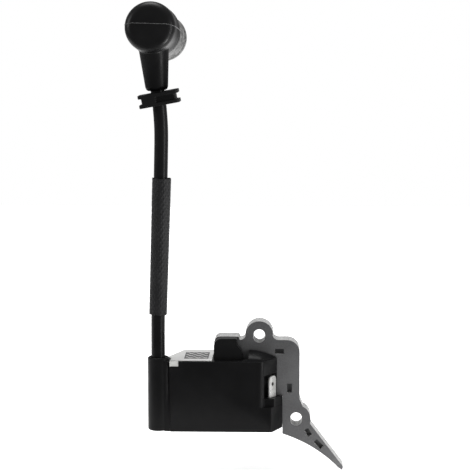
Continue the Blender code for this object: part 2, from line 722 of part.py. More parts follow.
# ================================================================ resin, label, electronics
def build_resin(resin):
    slab = prism("potting_resin", [cavity_plan(GAP)], RIM_Z - 3.4, RIM_Z - 0.1)
    flange = BOBBIN_FLANGE + GAP
    over = box("over_flange", LEG_MID_X - flange, 0, CORE_MID - flange, CORE_MID + flange,
               0, DECK_TOP + GAP, TOOLS)
    covered = box("covered", COVER_LEFT - GAP, 0, FRONT_Y, BACK_Y, 0, RIM_Z + 1, TOOLS)
    left, right = CASE_FRONT_LEFT - 0.15, NOTCH_RIGHT - 0.1
    front, middle, back = FRONT_Y + 0.15, FRONT_Y + WALL + 0.3, FRONT_Y + WALL + 2
    inner = CASE_FRONT_LEFT + WALL + 2 * GAP
    tongue_plan = [(left, front), (right, front), (right, back), (inner, back), (inner, middle),
                   (left, middle)]
    tongue = prism("tongue", [tongue_plan], NOTCH_Z + 0.05, RIM_Z - SEAM, TOOLS)
    finish_piece(join(cut(slab, over, covered), tongue), resin)


def build_label(film):
    """A film over the resin and the back and left rims, with a printed patch left blank."""
    low = RIM_Z + 0.05
    inset = 0.4
    right = COVER_LEFT - GAP
    front_left = CASE_FRONT_LEFT + 0.05
    beside_tower = TOWER_Y + TOWER_RADIUS + GAP
    plan = [(front_left, FRONT_Y + WALL), (right, FRONT_Y + WALL), (right, BACK_Y - inset),
            *slanted_back(inset), (CASE_LEFT + inset, beside_tower),
            (front_left - 0.5, beside_tower - 0.6), (front_left, beside_tower - 2)]
    finish_piece(prism("top_label", [plan], low, low + 0.2), film)


def build_electronics(board, black, orange, ceramic, copper):
    board_left = NARROW_X + WALL + 0.5
    board_right = board_left + 1.0
    board_front = TOWER_Y + 3.7
    low, high = COIL_BOTTOM, RIM_Z - 3.4 - GAP
    sheet = box("circuit_board", board_left, board_right, board_front, BACK_Y - WALL - 0.4, low, high)
    finish_piece(sheet, board)
    near = board_left - GAP
    far = board_right + GAP
    room = LEG_MID_X - SECONDARY_FLANGE - GAP - far
    wall_y = TOWER_Y + 6.5
    finish_piece(box("power_transistor", near - 4.4, near, wall_y - 2.9, wall_y, -9, 1.2), black)
    finish_piece(box("trigger_thyristor", near - 3.6, near, wall_y - 2.9, wall_y, -15.5, -10.5), black)
    finish_piece(box("storage_capacitor", far, far + room, board_front + 0.3, -0.5, -12, 1.0), orange)
    back = BACK_Y - WALL - GAP
    lying = (("protection_diode", back - 3.8, -7, black, 1.25),
             ("gate_resistor", back - 1.2, -7, ceramic, 0.9),
             ("bias_resistor", back - 1.2, 0, ceramic, 0.9))
    for name, y, z, finish, radius in lying:
        body = cylinder(name, radius, -3, 3, 16)
        spot = Matrix.Translation(((far + room / 2) * MM, y * MM, z * MM))
        finish_piece(placed(body, spot), finish, 40)
    foot_y = tab_middle()[1] - FOOT_SET_FORWARD
    run_y = (FRONT_Y + WALL + CORE_MID - SECONDARY_FLANGE) / 2
    stop = [(CAVITY_RIGHT - 1.3, foot_y, FOOT_Z + 1), (CAVITY_RIGHT - 1.6, run_y, FOOT_Z + 0.5),
            (-20, run_y, -12), (far + 1, run_y, -15.5), (far + 0.2, board_front - 0.8, -15.5)]
    finish_piece(wire("stop_wire", stop, 0.25), copper)


def build_high_voltage(brass, copper, sealant):
    base = TOWER_BORE_BOTTOM + GAP
    profile = [(0, -3.4), (0.5, -3.8), (0.5, base + 1.2), (2.2, base + 1.2), (2.2, base), (0, base)]
    finish_piece(at_tower(turned("high_voltage_pin", profile, 16)), brass, 40)
    duct_y = TOWER_Y + 1.7
    far_x = LEG_MID_X - SECONDARY_FLANGE - 2 * GAP
    link = [(TOWER_X + 2.1, duct_y, base + 0.7), (CASE_FRONT_LEFT + WALL, duct_y, base + 0.7),
            (far_x - 1.5, duct_y, -12.4), (far_x, duct_y, -12.4)]
    finish_piece(wire("high_voltage_wire", link, 0.3), copper)
    inner, outer = LEAD_RADIUS + SEAL_GAP, TOWER_BORE - SEAL_GAP / 2
    top, bottom = TOWER_TOP - 0.3, TOWER_TOP - 3.5
    seal = [(inner, top), (outer, top), (outer, bottom), (inner, bottom), (inner, top)]
    finish_piece(at_tower(turned("tower_seal", seal, 28)), sealant, 40)


# ================================================================ lead, sleeve, grommet
def build_lead(jacket, copper):
    route = smooth_route(LEAD_ROUTE, 2.2 * LEAD_RADIUS)
    lead = wire("ignition_lead", route, LEAD_RADIUS, 3)
    first, last = route[0], route[-1]
    longer = [first + (first - route[1]) * 0.4, *route, last + (last - route[-2]) * 0.4]
    hollow = wire("lead_hollow", longer, LEAD_BORE, 2, TOOLS)
    finish_piece(cut(lead, hollow), jacket, 40)
    finish_piece(wire("lead_conductor", route[1:-1], CONDUCTOR_RADIUS, 2), copper, 40)


def axis_matrix(bottom, top):
    """A frame at the bottom point with Z towards the top point."""
    start = Vector((bottom[0], TOWER_Y, bottom[1]))
    end = Vector((top[0], TOWER_Y, top[1]))
    turn = Vector((0, 0, 1)).rotation_difference(end - start).to_matrix().to_4x4()
    return Matrix.Translation(start * MM) @ turn, (end - start).length


def build_sleeve(braid):
    frame, length = axis_matrix(SLEEVE_BOTTOM, SLEEVE_TOP)
    low, high = SLEEVE_BORE_BOTTOM, SLEEVE_BORE_TOP
    profile = [(high, length), (high + SLEEVE_WALL, length), (low + SLEEVE_WALL, 0), (low, 0),
               (high, length)]
    guide = bpy.data.objects.new("sleeve_axis", None)
    PART.objects.link(guide)
    guide.matrix_world = frame
    finish_piece(turned("protective_sleeve", profile, 28), braid, 40, guide)


def build_grommet(rubber):
    frame = (Matrix.Translation((GROMMET_X * MM, TOWER_Y * MM, GROMMET_Z * MM))
             @ Matrix.Rotation(math.radians(-GROMMET_TILT), 4, "Y"))
    half_x, half_y, half_z = GROMMET_LENGTH / 2, GROMMET_DEPTH / 2, GROMMET_HEIGHT / 2
    plate = rounded(rectangle(-half_x, half_x, -half_y, half_y), [1.2] * 4)
    web = rounded(rectangle(-half_x + GROMMET_GROOVE, half_x - GROMMET_GROOVE,
                            -half_y + GROMMET_GROOVE, half_y - GROMMET_GROOVE), [0.8] * 4)
    body = prism("lead_grommet", [web], -half_z + 0.2, half_z - 0.2)
    top = prism("top_lip", [plate], half_z - GROMMET_LIP, half_z, TOOLS)
    bottom = prism("bottom_lip", [plate], -half_z, -half_z + GROMMET_LIP, TOOLS)
    key = box("key", -half_x + GROMMET_GROOVE + 0.1, -1.0, -half_y + 0.02, 0, -half_z + 0.5,
              half_z - 0.5, TOOLS)
    join(body, top, bottom, key)
    waist, mouth = LEAD_RADIUS + GAP, LEAD_RADIUS + 1.15
    spare = 0.5
    profile = [(0, half_z + spare), (mouth + 0.2, half_z + spare), (waist, 0.6), (waist, -0.6),
               (mouth + 0.2, -half_z - spare), (0, -half_z - spare)]
    cut(body, applied(turned("grommet_bore", profile, 24, TOOLS)))
    guide = bpy.data.objects.new("grommet_axis", None)
    PART.objects.link(guide)
    guide.matrix_world = frame
    finish_piece(body, rubber, None, guide)


# ================================================================ boot
def boot_frame():
    return (Matrix.Translation((BOOT_X * MM, BOOT_Y * MM, BOOT_Z * MM))
            @ Matrix.Rotation(math.radians(-BOOT_TILT), 4, "Y")
            @ Matrix.Rotation(math.radians(-BOOT_YAW), 4, "Z"))


def plug_frame():
    """In the boot's frame: local -Z points out of the socket, along the spark plug."""
    return Matrix.Rotation(math.radians(90 - PLUG_DROP), 4, "X")


def build_boot(rubber, steel):
    axis = bpy.data.objects.new("boot_axis", None)
    PART.objects.link(axis)
    axis.matrix_world = boot_frame()
    fillet = [(HEAD_RADIUS - HEAD_FILLET + HEAD_FILLET * math.sin(a),
               HEAD_FRONT - HEAD_FILLET + HEAD_FILLET * math.cos(a))
              for a in (math.pi / 2 * i / 6 for i in range(7))]
    head = [(0, HEAD_FRONT), *fillet, (HEAD_RADIUS + 0.1, -HEAD_BACK + 0.8),
            (HEAD_RADIUS - 0.6, -HEAD_BACK), (NECK_RADIUS, -HEAD_BACK - 0.3),
            (NECK_RADIUS, -NECK_END), (SKIRT_RADIUS, -NECK_END - 0.4),
            (SKIRT_RADIUS + 0.1, -SKIRT_END + 2.6), (SKIRT_LIP, -SKIRT_END + 2.2),
            (SKIRT_LIP, -SKIRT_END), (0, -SKIRT_END)]
    body = placed(applied(turned("plug_boot", head, 36)), plug_frame())
    stem = [(0, 0), (STEM_TOP_RADIUS, 0), (STEM_TOP_RADIUS, -6),
            (STEM_BOTTOM_RADIUS + 0.1, -STEM_LENGTH + 1.3), (STEM_BOTTOM_RADIUS - 0.3, -STEM_LENGTH + 0.4),
            (STEM_BOTTOM_RADIUS - 1.0, -STEM_LENGTH), (0, -STEM_LENGTH)]
    join(body, applied(turned("stem", stem, 28, TOOLS)))
    socket = [(0, -CHAMBER_END), (CHAMBER_RADIUS, -CHAMBER_END), (CHAMBER_RADIUS, -SOCKET_BOTTOM),
              (SOCKET_RADIUS, -SOCKET_BOTTOM - 1), (SOCKET_RADIUS, -SKIRT_END + 1.6),
              (SOCKET_MOUTH, -SKIRT_END), (SOCKET_MOUTH, -SKIRT_END - 1), (0, -SKIRT_END - 1)]
    cut(body, placed(applied(turned("socket", socket, 28, TOOLS)), plug_frame()))
    cut(body, applied(cylinder("lead_bore", LEAD_RADIUS + GAP, -STEM_LENGTH - 1, -1, 24, TOOLS)))
    finish_piece(body, rubber, 40, axis)

    turns = SPRING_TURNS * 12
    coil = []
    for i in range(turns + 1):
        a = math.tau * SPRING_TURNS * i / turns
        coil.append((SPRING_RADIUS * math.cos(a), SPRING_RADIUS * math.sin(a),
                     -SPRING_START - SPRING_LENGTH * i / turns))
    spring = placed(wire("contact_spring", coil, SPRING_WIRE, 1), plug_frame())
    finish_piece(spring, steel, 50, axis)
    nail = [(0, -4.2), (1.5, -4.2), (1.5, -4.6), (0.5, -4.7), (0.5, -8.4), (0, -9.2)]
    finish_piece(turned("contact_nail", nail, 16), steel, 40, axis)


# ================================================================ all together
for old in list(bpy.data.objects):
    bpy.data.objects.remove(old)
PART = collection("ignition_coil")
TOOLS = collection("cutters")

black_plastic = material("black_plastic", (0.014, 0.014, 0.015), 0.42)
lamination_steel = material("lamination_steel", (0.42, 0.42, 0.43), 0.38, 1.0)
resin_grey = material("resin_grey", (0.55, 0.55, 0.54), 0.5)
label_film = material("label_film", (0.72, 0.72, 0.72), 0.45)
tinned_steel = material("tinned_steel", (0.78, 0.78, 0.76), 0.3, 1.0)
bobbin_plastic = material("bobbin_plastic", (0.02, 0.02, 0.022), 0.45)
copper_wire = material("copper_wire", (0.72, 0.32, 0.14), 0.35, 1.0)
fine_copper_wire = material("fine_copper_wire", (0.55, 0.22, 0.09), 0.4, 1.0)
board_green = material("board_green", (0.05, 0.22, 0.1), 0.5)
part_black = material("component_black", (0.02, 0.02, 0.02), 0.5)
part_orange = material("component_orange", (0.6, 0.24, 0.05), 0.4)
part_beige = material("component_beige", (0.62, 0.5, 0.33), 0.5)
brass = material("brass", (0.75, 0.55, 0.25), 0.3, 1.0)
sealant = material("sealant", (0.03, 0.03, 0.03), 0.3)
lead_jacket = material("lead_jacket", (0.012, 0.012, 0.013), 0.38)
sleeve_braid = material("sleeve_braid", (0.035, 0.035, 0.037), 0.75)
soft_rubber = material("soft_rubber", (0.013, 0.013, 0.014), 0.5)
spring_steel = material("spring_steel", (0.6, 0.6, 0.6), 0.3, 1.0)

build_core(lamination_steel)
build_casing(black_plastic)
build_terminal(tinned_steel)
finish_piece(build_windings(bobbin_plastic, copper_wire, fine_copper_wire), tinned_steel)
build_resin(resin_grey)
build_label(label_film)
build_electronics(board_green, part_black, part_orange, part_beige, copper_wire)
build_high_voltage(brass, copper_wire, sealant)
build_lead(lead_jacket, copper_wire)
build_sleeve(sleeve_braid)
build_grommet(soft_rubber)
build_boot(soft_rubber, spring_steel)
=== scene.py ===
"""The looks of the ignition coil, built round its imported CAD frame. Everything is in metres."""

import json
import math

import bmesh
import bpy
from mathutils import Matrix, Vector


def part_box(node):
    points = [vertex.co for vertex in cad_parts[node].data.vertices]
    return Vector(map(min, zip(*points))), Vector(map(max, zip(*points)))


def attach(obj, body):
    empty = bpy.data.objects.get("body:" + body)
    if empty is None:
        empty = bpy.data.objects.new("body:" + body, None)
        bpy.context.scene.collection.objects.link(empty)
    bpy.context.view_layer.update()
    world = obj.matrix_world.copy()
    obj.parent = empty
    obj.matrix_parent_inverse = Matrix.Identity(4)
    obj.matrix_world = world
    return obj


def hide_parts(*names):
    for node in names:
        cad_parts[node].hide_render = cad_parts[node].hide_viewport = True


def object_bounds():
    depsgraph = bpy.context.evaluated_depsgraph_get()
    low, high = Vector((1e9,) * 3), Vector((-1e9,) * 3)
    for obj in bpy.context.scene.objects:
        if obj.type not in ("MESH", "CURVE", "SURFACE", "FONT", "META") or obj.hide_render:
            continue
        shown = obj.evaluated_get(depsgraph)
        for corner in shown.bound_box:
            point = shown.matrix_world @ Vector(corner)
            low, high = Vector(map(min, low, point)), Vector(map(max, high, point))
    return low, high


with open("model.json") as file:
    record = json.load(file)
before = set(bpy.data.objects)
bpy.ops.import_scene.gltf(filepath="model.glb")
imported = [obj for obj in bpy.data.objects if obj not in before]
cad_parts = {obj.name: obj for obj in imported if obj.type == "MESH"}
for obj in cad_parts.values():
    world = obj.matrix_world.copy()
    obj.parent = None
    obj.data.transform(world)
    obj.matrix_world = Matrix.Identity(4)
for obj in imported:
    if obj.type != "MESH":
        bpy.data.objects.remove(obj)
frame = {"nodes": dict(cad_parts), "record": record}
cad_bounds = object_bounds()

MM = 0.001
NODES = frame["nodes"]
JOINTS = {joint["name"]: joint for joint in frame["record"]["behaviour"]["joints"]}
MOUNTS = {mount["name"]: mount for mount in frame["record"]["mounts"]}

# ---------------------------------------------------------------- camera, light and stage
CAMERA_AT = (0.003076, -0.68831, 0.137109)
CAMERA_PITCH = 82.912
CAMERA_YAW = 1.955
CAMERA_LENS = 144.77
FLOOR_GAP = 0.0006  # below the lowest point of the core
FLOOR_SIZE = 0.95
FLOOR_BACK = 0.41  # how far behind the coil the floor's middle lies
FLOOR_GLOW = 0.62  # keeps the floor as white as the backdrop
ROOM_LIGHT = 0.4  # what the backdrop adds to the lamps

# ---------------------------------------------------------------- lead
LEAD_RADIUS = 2.5 * MM
LEAD_HOLLOW = 1.15 * MM
CONDUCTOR_RADIUS = 0.8 * MM
ROUTE_SPACING = 1.2 * MM
# The route is the same as the CAD lead's.
LEAD_ROUTE = (
    (-0.0478, -0.0132, -0.007),
    (-0.04782, -0.0132, 0.001),
    (-0.0479, -0.0132, 0.009),
    (-0.0479, -0.0132, 0.017),
    (-0.04782, -0.0132, 0.025),
    (-0.04762, -0.0132, 0.035),
    (-0.04738, -0.0132, 0.045),
    (-0.04707, -0.0132, 0.057),
    (-0.04679, -0.0132, 0.069),
    (-0.04657, -0.0132, 0.079),
    (-0.04642, -0.0132, 0.087),
    (-0.04645, -0.0132, 0.0915),
    (-0.04672, -0.0132, 0.0965),
    (-0.04718, -0.0132, 0.1014),
    (-0.04784, -0.0132, 0.1062),
    (-0.0483, -0.0132, 0.1112),
    (-0.04881, -0.0132, 0.1181),
    (-0.04903, -0.0132, 0.1212),
)

# ---------------------------------------------------------------- sleeve, in mm
SLEEVE_BORE = (2.87, 3.07)  # at its bottom and its top
SLEEVE_WALL = 0.35
WEAVE_ROUND = 26  # strands round the sleeve
WEAVE_PITCH = 1.15  # along the sleeve
WEAVE_HEIGHT = 0.06
INNER_WEAVE = 0.02
SLEEVE_STEPS = 156  # points round the sleeve
SLEEVE_ROW = 0.16  # from one ring of points to the next
FRAY_REACH = 0.8  # of the uneven cut ends

# ---------------------------------------------------------------- print on the label, in mm
PRINT_PLACE = 0.64  # from the label's left edge to its right
PRINT_FORWARD = 0.9  # from the label's middle towards the front
PRINT_FRAME = (4.4, 6.4)  # half sizes
PRINT_BLOCK = (3.95, 5.4)  # half sizes of the hatching inside the frame
HATCH_WAVE = (2200, 1.0)  # per metre, and height
HATCH_LINES = 1500  # per metre

# ---------------------------------------------------------------- boot, in mm, close to the CAD's sizes
BOOT_CROSSING = 22.0  # from the joint's point up to where lead and plug axes cross
BOOT_YAW = 4.3
PLUG_DROP = 8.6
VOXEL = 0.22
HEAD_RADIUS = 9.1
HEAD_FRONT = 7.8
HEAD_BACK = 6.4
HEAD_FILLET = 3.1
HEAD_POINTS = 16  # points of the turned profile before the neck
HEAD_SHINE = 0.16  # specular level on the head's face
FLANK_SHINE = 0.03  # and on its dull flank
NECK_RADIUS = 7.2
NECK_END = 9.2
SKIRT_RADIUS = 8.1
SKIRT_END = 27.2
SKIRT_LIP = 8.55
TALC_START = 12.8  # along the plug's axis
TALC_FADE = 0.8
SOCKET_RADIUS = 5.95
SOCKET_MOUTH = 6.95
SOCKET_BOTTOM = 9.5
CHAMBER_RADIUS = 4.65
CHAMBER_END = -3.2
STEM_TOP_RADIUS = 5.5
STEM_BOTTOM_RADIUS = 4.1
STEM_END = -BOOT_CROSSING
BORE_CLEARANCE = 0.35  # of the stem's bore round the lead
FLASH_RADIUS = 0.15  # mould flash left along the parting line
FLASH_HEIGHT = 1.15  # over the head's middle
FLASH_SLOPE = 0.1
FLASH_BEND = 0.0093
FLASH_SPACING = 0.4


# ================================================================ mesh helpers
def add_object(name, data):
    made = bpy.data.objects.new(name, data)
    bpy.context.scene.collection.objects.link(made)
    return made


def applied(obj):
    """The object with its modifiers made part of its mesh."""
    bpy.context.view_layer.update()
    graph = bpy.context.evaluated_depsgraph_get()
    mesh = bpy.data.meshes.new_from_object(obj.evaluated_get(graph))
    obj.modifiers.clear()
    obj.data = mesh
    return obj


def from_curve(name, curve_object):
    bpy.context.view_layer.update()
    graph = bpy.context.evaluated_depsgraph_get()
    mesh = bpy.data.meshes.new_from_object(curve_object.evaluated_get(graph))
    weld = bmesh.new()
    weld.from_mesh(mesh)
    bmesh.ops.remove_doubles(weld, verts=weld.verts, dist=1e-7)
    bmesh.ops.recalc_face_normals(weld, faces=weld.faces)
    weld.to_mesh(mesh)
    weld.free()
    made = add_object(name, mesh)
    made.matrix_world = curve_object.matrix_world
    bpy.data.objects.remove(curve_object)
    return made


def turned(name, profile, steps=96):
    """A profile of radius and height in mm, down its outer side, turned round Z."""
    mesh = bpy.data.meshes.new(name)
    points = [(radius * MM, 0, height * MM) for radius, height in profile]
    mesh.from_pydata(points, [(i, i + 1) for i in range(len(points) - 1)], [])
    made = add_object(name, mesh)
    screw = made.modifiers.new("turn", "SCREW")
    screw.steps = steps
    screw.render_steps = steps
    screw.use_merge_vertices = True
    screw.merge_threshold = 1e-7
    return applied(made)


def boolean(obj, other, operation):
    step = obj.modifiers.new(other.name, "BOOLEAN")
    step.operation = operation
    step.solver = "EXACT"
    step.object = other
    applied(obj)
    bpy.data.objects.remove(other)
    return obj


def remeshed(obj, voxel, smoothing, factor=0.5):
    """One even skin over the object, with its edges rounded as a mould leaves them; voxel is in mm."""
    remesh = obj.modifiers.new("skin", "REMESH")
    remesh.mode = "VOXEL"
    remesh.voxel_size = voxel * MM
    remesh.use_smooth_shade = True
    smooth = obj.modifiers.new("round", "SMOOTH")
    smooth.factor = factor
    smooth.iterations = smoothing
    return applied(obj)


def copy_of(node, name):
    """A piece that starts as the mesh of a CAD node."""
    return add_object(name, NODES[node].data.copy())


def bevelled(obj, width, segments=3, angle=35):
    """The CAD mesh with its flat faces made whole again and its edges rounded; width is in mm."""
    clean = bmesh.new()
    clean.from_mesh(obj.data)
    bmesh.ops.remove_doubles(clean, verts=clean.verts, dist=0.03 * MM)
    bmesh.ops.dissolve_limit(clean, angle_limit=math.radians(1.5), verts=clean.verts, edges=clean.edges)
    clean.to_mesh(obj.data)
    clean.free()
    bevel = obj.modifiers.new("edge", "BEVEL")
    bevel.width = width * MM
    bevel.segments = segments
    bevel.limit_method = "ANGLE"
    bevel.angle_limit = math.radians(angle)
    bevel.use_clamp_overlap = True
    bevel.harden_normals = True
    obj.data.shade_smooth()
    applied(obj)
    obj.data.shade_smooth()
    obj.data.set_sharp_from_angle(angle=math.radians(40))
    return obj


def smooth_route(points, spacing):
    """A Catmull-Rom curve through the points, as points about spacing apart."""
    guide = [Vector(p) for p in points]
    guide = [2 * guide[0] - guide[1], *guide, 2 * guide[-1] - guide[-2]]
    found = []
    for a, b, c, d in zip(guide, guide[1:], guide[2:], guide[3:]):
        count = max(1, round((c - b).length / spacing))
        for step in range(count):
            t = step / count
            found.append(
                0.5 * (2 * b + (c - a) * t + (2 * a - 5 * b + 4 * c - d) * t * t
                       + (3 * b - a - 3 * c + d) * t ** 3)
            )
    return [*found, guide[-2]]


def wire(name, points, radius, resolution=4):
    curve = bpy.data.curves.new(name, "CURVE")
    curve.dimensions = "3D"
    curve.bevel_depth = radius
    curve.bevel_resolution = resolution
    curve.use_fill_caps = True
    spline = curve.splines.new("POLY")
    spline.points.add(len(points) - 1)
    for point, at in zip(spline.points, points):
        point.co = (*at, 1)
    return from_curve(name, add_object(name + "_path", curve))


# ================================================================ material helpers
class Shader:
    """A Principled material whose nodes are added by short calls."""

    def __init__(self, name, colour, roughness, metallic=0.0, specular=0.5):
        self.material = bpy.data.materials.new(name)
        self.material.use_nodes = True
        self.tree = self.material.node_tree
        self.main = self.tree.nodes["Principled BSDF"]
        self.main.inputs["Base Color"].default_value = (*colour, 1)
        self.main.inputs["Roughness"].default_value = roughness
        self.main.inputs["Metallic"].default_value = metallic
        self.main.inputs["Specular IOR Level"].default_value = specular
        self.where = self.node("ShaderNodeTexCoord").outputs["Object"]

    def node(self, kind, **settings):
        made = self.tree.nodes.new(kind)
        for key, value in settings.items():
            setattr(made, key, value)
        return made

    def link(self, source, target):
        self.tree.links.new(source, target)

    def put(self, socket, value):
        if isinstance(value, bpy.types.NodeSocket):
            self.link(value, socket)
        else:
            socket.default_value = value

    def math(self, operation, a, b=0.0, c=0.0, clamp=False):
        made = self.node("ShaderNodeMath", operation=operation, use_clamp=clamp)
        for socket, value in zip(made.inputs, (a, b, c)):
            self.put(socket, value)
        return made.outputs[0]

    def noise(self, scale, detail=3.0, stretch=(1, 1, 1), distortion=0.0):
        mapping = self.node("ShaderNodeMapping")
        mapping.inputs["Scale"].default_value = stretch
        self.link(self.where, mapping.inputs["Vector"])
        made = self.node("ShaderNodeTexNoise")
        made.inputs["Scale"].default_value = scale
        made.inputs["Detail"].default_value = detail
        made.inputs["Distortion"].default_value = distortion
        self.link(mapping.outputs[0], made.inputs["Vector"])
        return made.outputs["Fac"]

    def ranged(self, value, low, high, to_low, to_high):
        made = self.node("ShaderNodeMapRange")
        self.put(made.inputs["Value"], value)
        for name, number in (("From Min", low), ("From Max", high), ("To Min", to_low), ("To Max", to_high)):
            self.put(made.inputs[name], number)
        return made.outputs["Result"]

    def mixed(self, share, first, second):
        made = self.node("ShaderNodeMix", data_type="RGBA")
        self.put(made.inputs["Factor"], share)
        for name, value in (("A", first), ("B", second)):
            socket = [s for s in made.inputs if s.name == name and s.type == "RGBA"][0]
            self.put(socket, value if isinstance(value, bpy.types.NodeSocket) else (*value, 1))
        return [s for s in made.outputs if s.type == "RGBA"][0]

    def split(self, vector):
        made = self.node("ShaderNodeSeparateXYZ")
        self.link(vector, made.inputs[0])
        return made.outputs

    def colour(self, value):
        self.link(value, self.main.inputs["Base Color"])

    def roughness(self, value):
        self.link(value, self.main.inputs["Roughness"])

    def bump(self, height, strength, distance):
        made = self.node("ShaderNodeBump")
        made.inputs["Strength"].default_value = strength
        made.inputs["Distance"].default_value = distance * MM
        self.link(height, made.inputs["Height"])
        if self.main.inputs["Normal"].is_linked:
            self.link(self.main.inputs["Normal"].links[0].from_socket, made.inputs["Normal"])
        self.link(made.outputs[0], self.main.inputs["Normal"])

    def edge_wear(self, radius):
        """From 0 on flat faces to about 1 on outer edges."""
        bevel = self.node("ShaderNodeBevel", samples=6)
        bevel.inputs["Radius"].default_value = radius * MM
        geometry = self.node("ShaderNodeNewGeometry")
        dot = self.node("ShaderNodeVectorMath", operation="DOT_PRODUCT")
        self.link(bevel.outputs[0], dot.inputs[0])
        self.link(geometry.outputs["Normal"], dot.inputs[1])
        return self.ranged(dot.outputs["Value"], 0.995, 0.75, 0.0, 1.0)


def grained(name, colour, roughness, grain, depth, metallic=0.0, specular=0.5, mottle=0.25):
    """A moulded or cast surface: slight mottling, uneven gloss and a fine grain."""
    made = Shader(name, colour, roughness, metallic, specular)
    blotch = made.noise(90, 4)
    darker = tuple(c * (1 - mottle) for c in colour)
    lighter = tuple(min(1, c * (1 + mottle)) for c in colour)
    made.colour(made.mixed(made.ranged(blotch, 0.3, 0.7, 0, 1), darker, lighter))
    made.roughness(made.ranged(made.noise(240, 4), 0.3, 0.7, roughness - 0.06, roughness + 0.08))
    made.bump(made.noise(grain, 2), 0.5, depth)
    return made


def black_plastic():
    made = grained("black_plastic", (0.0058, 0.0058, 0.0061), 0.36, 2600, 0.02, specular=0.1)
    wear = made.math("MULTIPLY", made.edge_wear(0.5), made.ranged(made.noise(700, 3), 0.45, 0.75, 0, 1))
    base = made.main.inputs["Base Color"].links[0].from_socket
    made.colour(made.mixed(made.math("MULTIPLY", wear, 0.5), base, (0.035, 0.035, 0.037)))
    return made


def rubber(name, colour, roughness, specular):
    made = grained(name, colour, roughness, 1900, 0.03, specular=specular, mottle=0.3)
    made.bump(made.noise(420, 3), 0.25, 0.05)
    return made


def dusty_rubber():
    """The boot's rubber: clean and dark on its head, chalky with moulding talc round its skirt."""
    made = rubber("boot_rubber", (0.0045, 0.0045, 0.0048), 0.34, HEAD_SHINE)
    axis = Vector(MOUNTS["boot_rim"]["axis"])
    along = made.node("ShaderNodeVectorMath", operation="DOT_PRODUCT")
    made.link(made.where, along.inputs[0])
    along.inputs[1].default_value = axis
    start = boot_frame().translation.dot(axis)
    talc_end = start + (TALC_START + TALC_FADE) * MM
    talc = made.ranged(along.outputs["Value"], start + TALC_START * MM, talc_end, 0, 1)
    patches = made.ranged(made.noise(330, 5, distortion=1.2), 0.35, 0.65, 0.25, 1.0)
    streaks = made.ranged(made.noise(1100, 4, distortion=0.6), 0.35, 0.65, 0.45, 1.0)
    share = made.math("MULTIPLY", talc, made.math("MULTIPLY", patches, streaks))
    base = made.main.inputs["Base Color"].links[0].from_socket
    made.colour(made.mixed(share, base, (0.25, 0.25, 0.247)))
    dull = made.ranged(along.outputs["Value"], start - HEAD_BACK / 2 * MM, start + 1 * MM,
                       HEAD_SHINE, FLANK_SHINE)
    made.link(dull, made.main.inputs["Specular IOR Level"])
    return made


def steel(name="lamination_steel", dark=1.0):
    """Punched electrical steel: dull oxide on the faces and bright shear marks on the cut edges. A dark
    factor below 1 darkens the faces as painted shade.
    """
    made = Shader(name, (0.16, 0.16, 0.163), 0.5, 0.55, 0.4)
    facing = made.split(made.node("ShaderNodeNewGeometry").outputs["Normal"])["Y"]
    edge = made.ranged(made.math("ABSOLUTE", facing), 0.45, 0.55, 1, 0)
    blotch = made.ranged(made.noise(55, 5), 0.3, 0.7, 0, 1)
    grain = made.ranged(made.noise(2400, 2), 0.3, 0.7, -0.25, 0.25)
    # painted shade: a dark factor below 1 darkens the faces, for a plate seen only at the bottom of the
    # stake recesses
    face = made.mixed(made.math("ADD", blotch, grain), (0.105 * dark, 0.105 * dark, 0.107 * dark),
                      (0.17 * dark, 0.17 * dark, 0.173 * dark))
    shear = made.mixed(made.noise(900, 3, (1, 0.12, 1)), (0.42, 0.42, 0.42), (0.8, 0.8, 0.79))
    made.colour(made.mixed(edge, face, shear))
    made.roughness(made.ranged(made.noise(700, 3), 0.3, 0.7, 0.4, 0.55))
    made.bump(made.noise(1800, 3, (1, 1, 6)), 0.35, 0.02)
    return made


def tinned():
    made = Shader("tinned_steel", (0.74, 0.74, 0.72), 0.3, 0.75, 0.5)
    brushed = made.noise(700, 4, (1, 1, 0.08))
    made.colour(made.mixed(brushed, (0.6, 0.6, 0.58), (0.9, 0.9, 0.88)))
    made.roughness(made.ranged(made.noise(900, 4), 0.3, 0.7, 0.24, 0.42))
    made.bump(brushed, 0.4, 0.02)
    return made


def film():
    """Off-white label film with one printed patch of plain wavy hatching in a frame."""
    made = Shader("label_film", (0.74, 0.74, 0.73), 0.42, 0, 0.45)
    axes = made.split(made.where)
    low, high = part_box("top_label")
    middle_x = low.x * (1 - PRINT_PLACE) + high.x * PRINT_PLACE
    middle_y = (low.y + high.y) / 2 - PRINT_FORWARD * MM
    across = made.math("ABSOLUTE", made.math("SUBTRACT", axes["X"], middle_x))
    along = made.math("ABSOLUTE", made.math("SUBTRACT", axes["Y"], middle_y))
    inside, core = (
        made.math("MULTIPLY", made.math("LESS_THAN", across, half_width * MM),
                  made.math("LESS_THAN", along, half_depth * MM))
        for half_width, half_depth in (PRINT_FRAME, PRINT_BLOCK)
    )
    wave_rate, wave_height = HATCH_WAVE
    wave = made.math("SINE", made.math("MULTIPLY", axes["X"], wave_rate))
    wave = made.math("MULTIPLY", wave, wave_height * MM)
    ripple = made.math("SINE", made.math("MULTIPLY", made.math("ADD", axes["Y"], wave), HATCH_LINES))
    hatch = made.math("MULTIPLY", made.math("GREATER_THAN", ripple, -0.6), core)
    border = made.math("SUBTRACT", inside, core)
    ink = made.math("MULTIPLY", made.math("ADD", hatch, border, clamp=True),
                    made.ranged(made.noise(1500, 2), 0.25, 0.45, 0.75, 0.98))
    paper = made.mixed(made.noise(300, 4), (0.6, 0.6, 0.59), (0.68, 0.68, 0.67))
    made.colour(made.mixed(ink, paper, (0.03, 0.03, 0.032)))
    made.roughness(made.ranged(made.noise(500, 3), 0.3, 0.7, 0.35, 0.5))
    made.bump(made.noise(260, 3), 0.3, 0.03)
    return made


